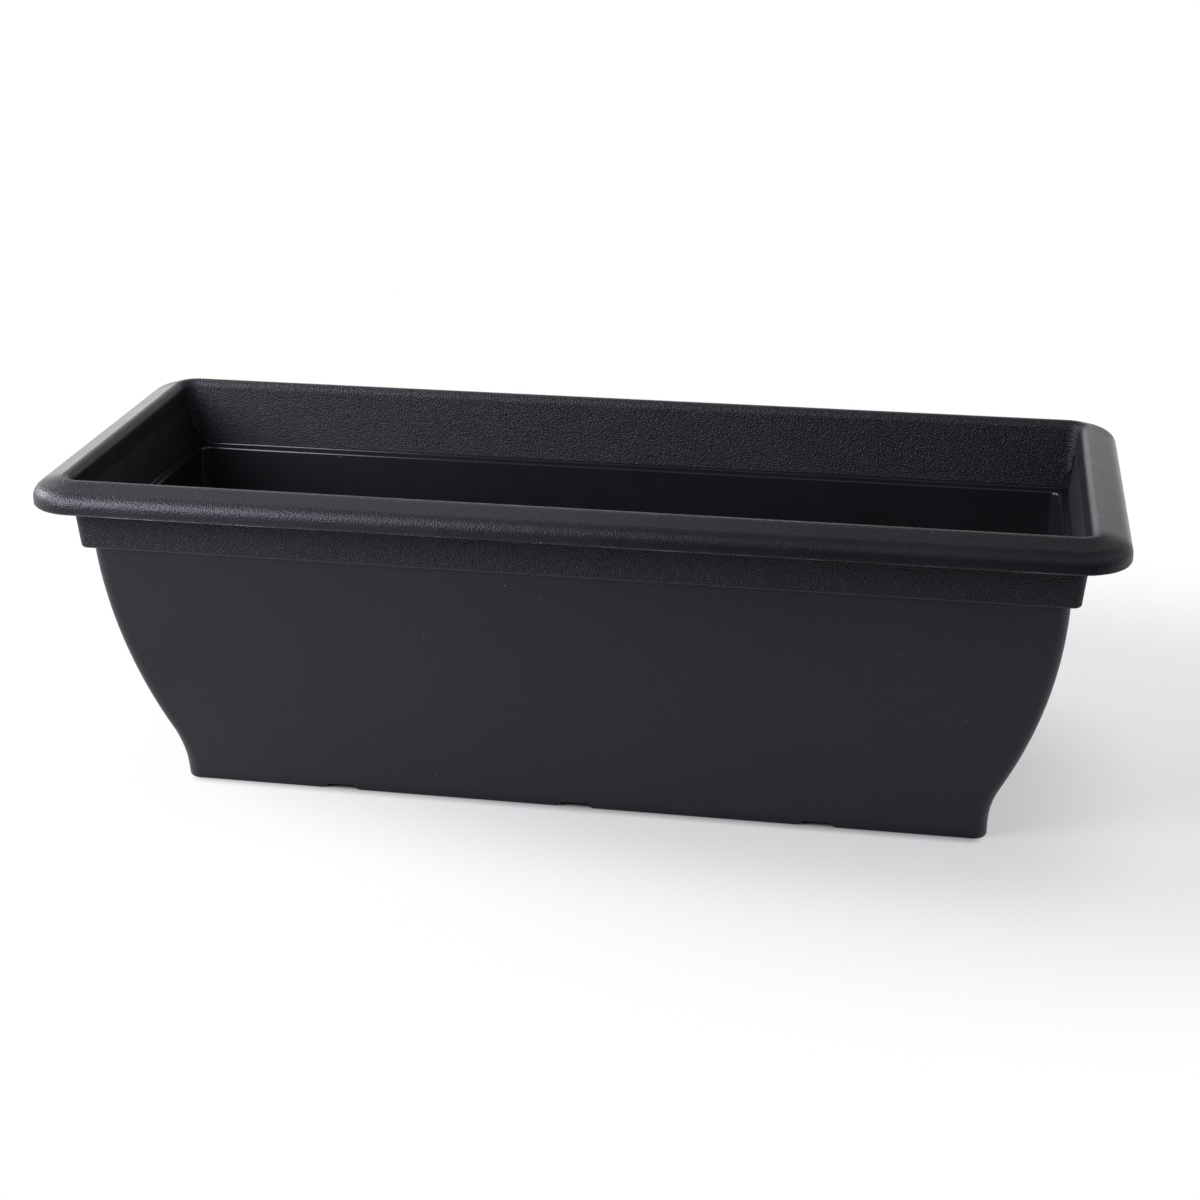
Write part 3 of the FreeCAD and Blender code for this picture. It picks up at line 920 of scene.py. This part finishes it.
@dataclass
class Studio:
    """The floor, the room's light, the soft boxes and the camera."""

    floor_outline: Sequence[tuple[float, float]] = (
        (1.6, 2.6), (-1.6, 2.6), (-1.6, -1.4), (-0.50, -1.4), (-0.05, -0.31), (1.6, -0.31))
    behind_left: float = 1.70
    behind_right: float = 0.80
    behind_high: float = 0.40
    front_high: float = 0.72
    front_low: float = 0.02
    overhead: float = 0.12
    back_span: Span = (-0.40, 0.10)
    left_span: Span = (0.25, -0.25)
    low_span: Span = (0.55, 0.25)
    top_span: Span = (0.70, 0.90)
    view: View = View()
    sweep: Finish = WhiteSweep()
    lamps: Sequence[Lamp] = (
        Lamp("key_box", (-0.58, -0.52, 0.52), (-0.15, -0.02, 0.10), (0.40, 0.40), 8.5),
        Lamp("left_box", (-1.20, 0.10, 0.70), (-0.10, 0.0, 0.15), (0.5, 0.5), 15.0),
        Lamp("top_box", (-0.35, 0.50, 1.15), (0.0, -0.08, 0.15), (0.5, 0.4), 1.2),
        Lamp("right_box", (1.10, -0.30, 0.90), (0.10, 0.0, 0.10), (1.0, 1.0), 2.0),
    )

    def build(self) -> bpy.types.Object:
        """Sets up the room, the floor, the soft boxes and the camera.

        Returns:
            The floor's object.
        """
        bpy.context.scene.view_settings.view_transform = "Standard"
        self.room()
        for lamp in self.lamps:
            lamp.build()
        self.view.build()
        return self.floor()

    def room(self) -> None:
        """Makes the world: white to the camera, and brightest low behind the left end."""
        world = bpy.data.worlds.new("room")
        bpy.context.scene.world = world
        world.use_nodes = True
        board = NodeBoard(world.node_tree)
        way = board.node("ShaderNodeTexCoord").outputs["Generated"]
        across, along, up = board.split(way)
        back = along.rise(*self.back_span)
        left = across.rise(*self.left_span)
        low = up.rise(*self.low_span)
        top = up.rise(*self.top_span)
        horizon = self.behind_right + (self.behind_left - self.behind_right) * left
        at_back = horizon * low + self.behind_high * (1 - low)
        ahead = self.front_low * low + self.front_high * (1 - low)
        level = (at_back * back + ahead * (1 - back)) * (1 - top) + self.overhead * top
        shown = board.value("ShaderNodeLightPath", Lobe.CAMERA.value).most(level)
        room = board.shader("ShaderNodeBackground", {"Color": _rgba(WHITE), "Strength": shown})
        board.node("ShaderNodeOutputWorld", None, {"Surface": room})

    def floor(self) -> bpy.types.Object:
        """Lays the floor under the trough.

        Returns:
            The floor's object.
        """
        mesh = bmesh.new()
        mesh.faces.new([mesh.verts.new((x, y, 0.0)) for x, y in self.floor_outline])
        floor = to_object(mesh, "floor")
        floor.data.materials.append(self.sweep.material())
        return floor


def to_object(mesh: bmesh.types.BMesh, name: str) -> bpy.types.Object:
    """Turns a built mesh into a smooth-shaded object of the scene.

    Args:
        mesh: the built mesh, which is freed.
        name: the object's name.

    Returns:
        The new object.
    """
    data = bpy.data.meshes.new(name)
    mesh.to_mesh(data)
    mesh.free()
    for face in data.polygons:
        face.use_smooth = True
    made = bpy.data.objects.new(name, data)
    bpy.context.scene.collection.objects.link(made)
    return made


def main() -> None:
    """Builds and dresses each part of the scene in order."""
    logging.basicConfig(level=logging.INFO, format="%(name)s: %(message)s")
    shell = TroughShell().dress()
    log.info("dressed %s, %d faces", shell.name, len(shell.data.polygons))
    flash_maker = LipFlash()
    flash = flash_maker.build()
    flash_maker.dress(flash)
    log.info("built %s, %d faces", flash.name, len(flash.data.polygons))
    for plug in DrainPlugs().dress():
        log.info("dressed %s, %d faces", plug.name, len(plug.data.polygons))
    floor = Studio().build()
    log.info("laid %s and set up the studio", floor.name)
    bpy.context.view_layer.update()


if __name__ == "__main__":
    main()
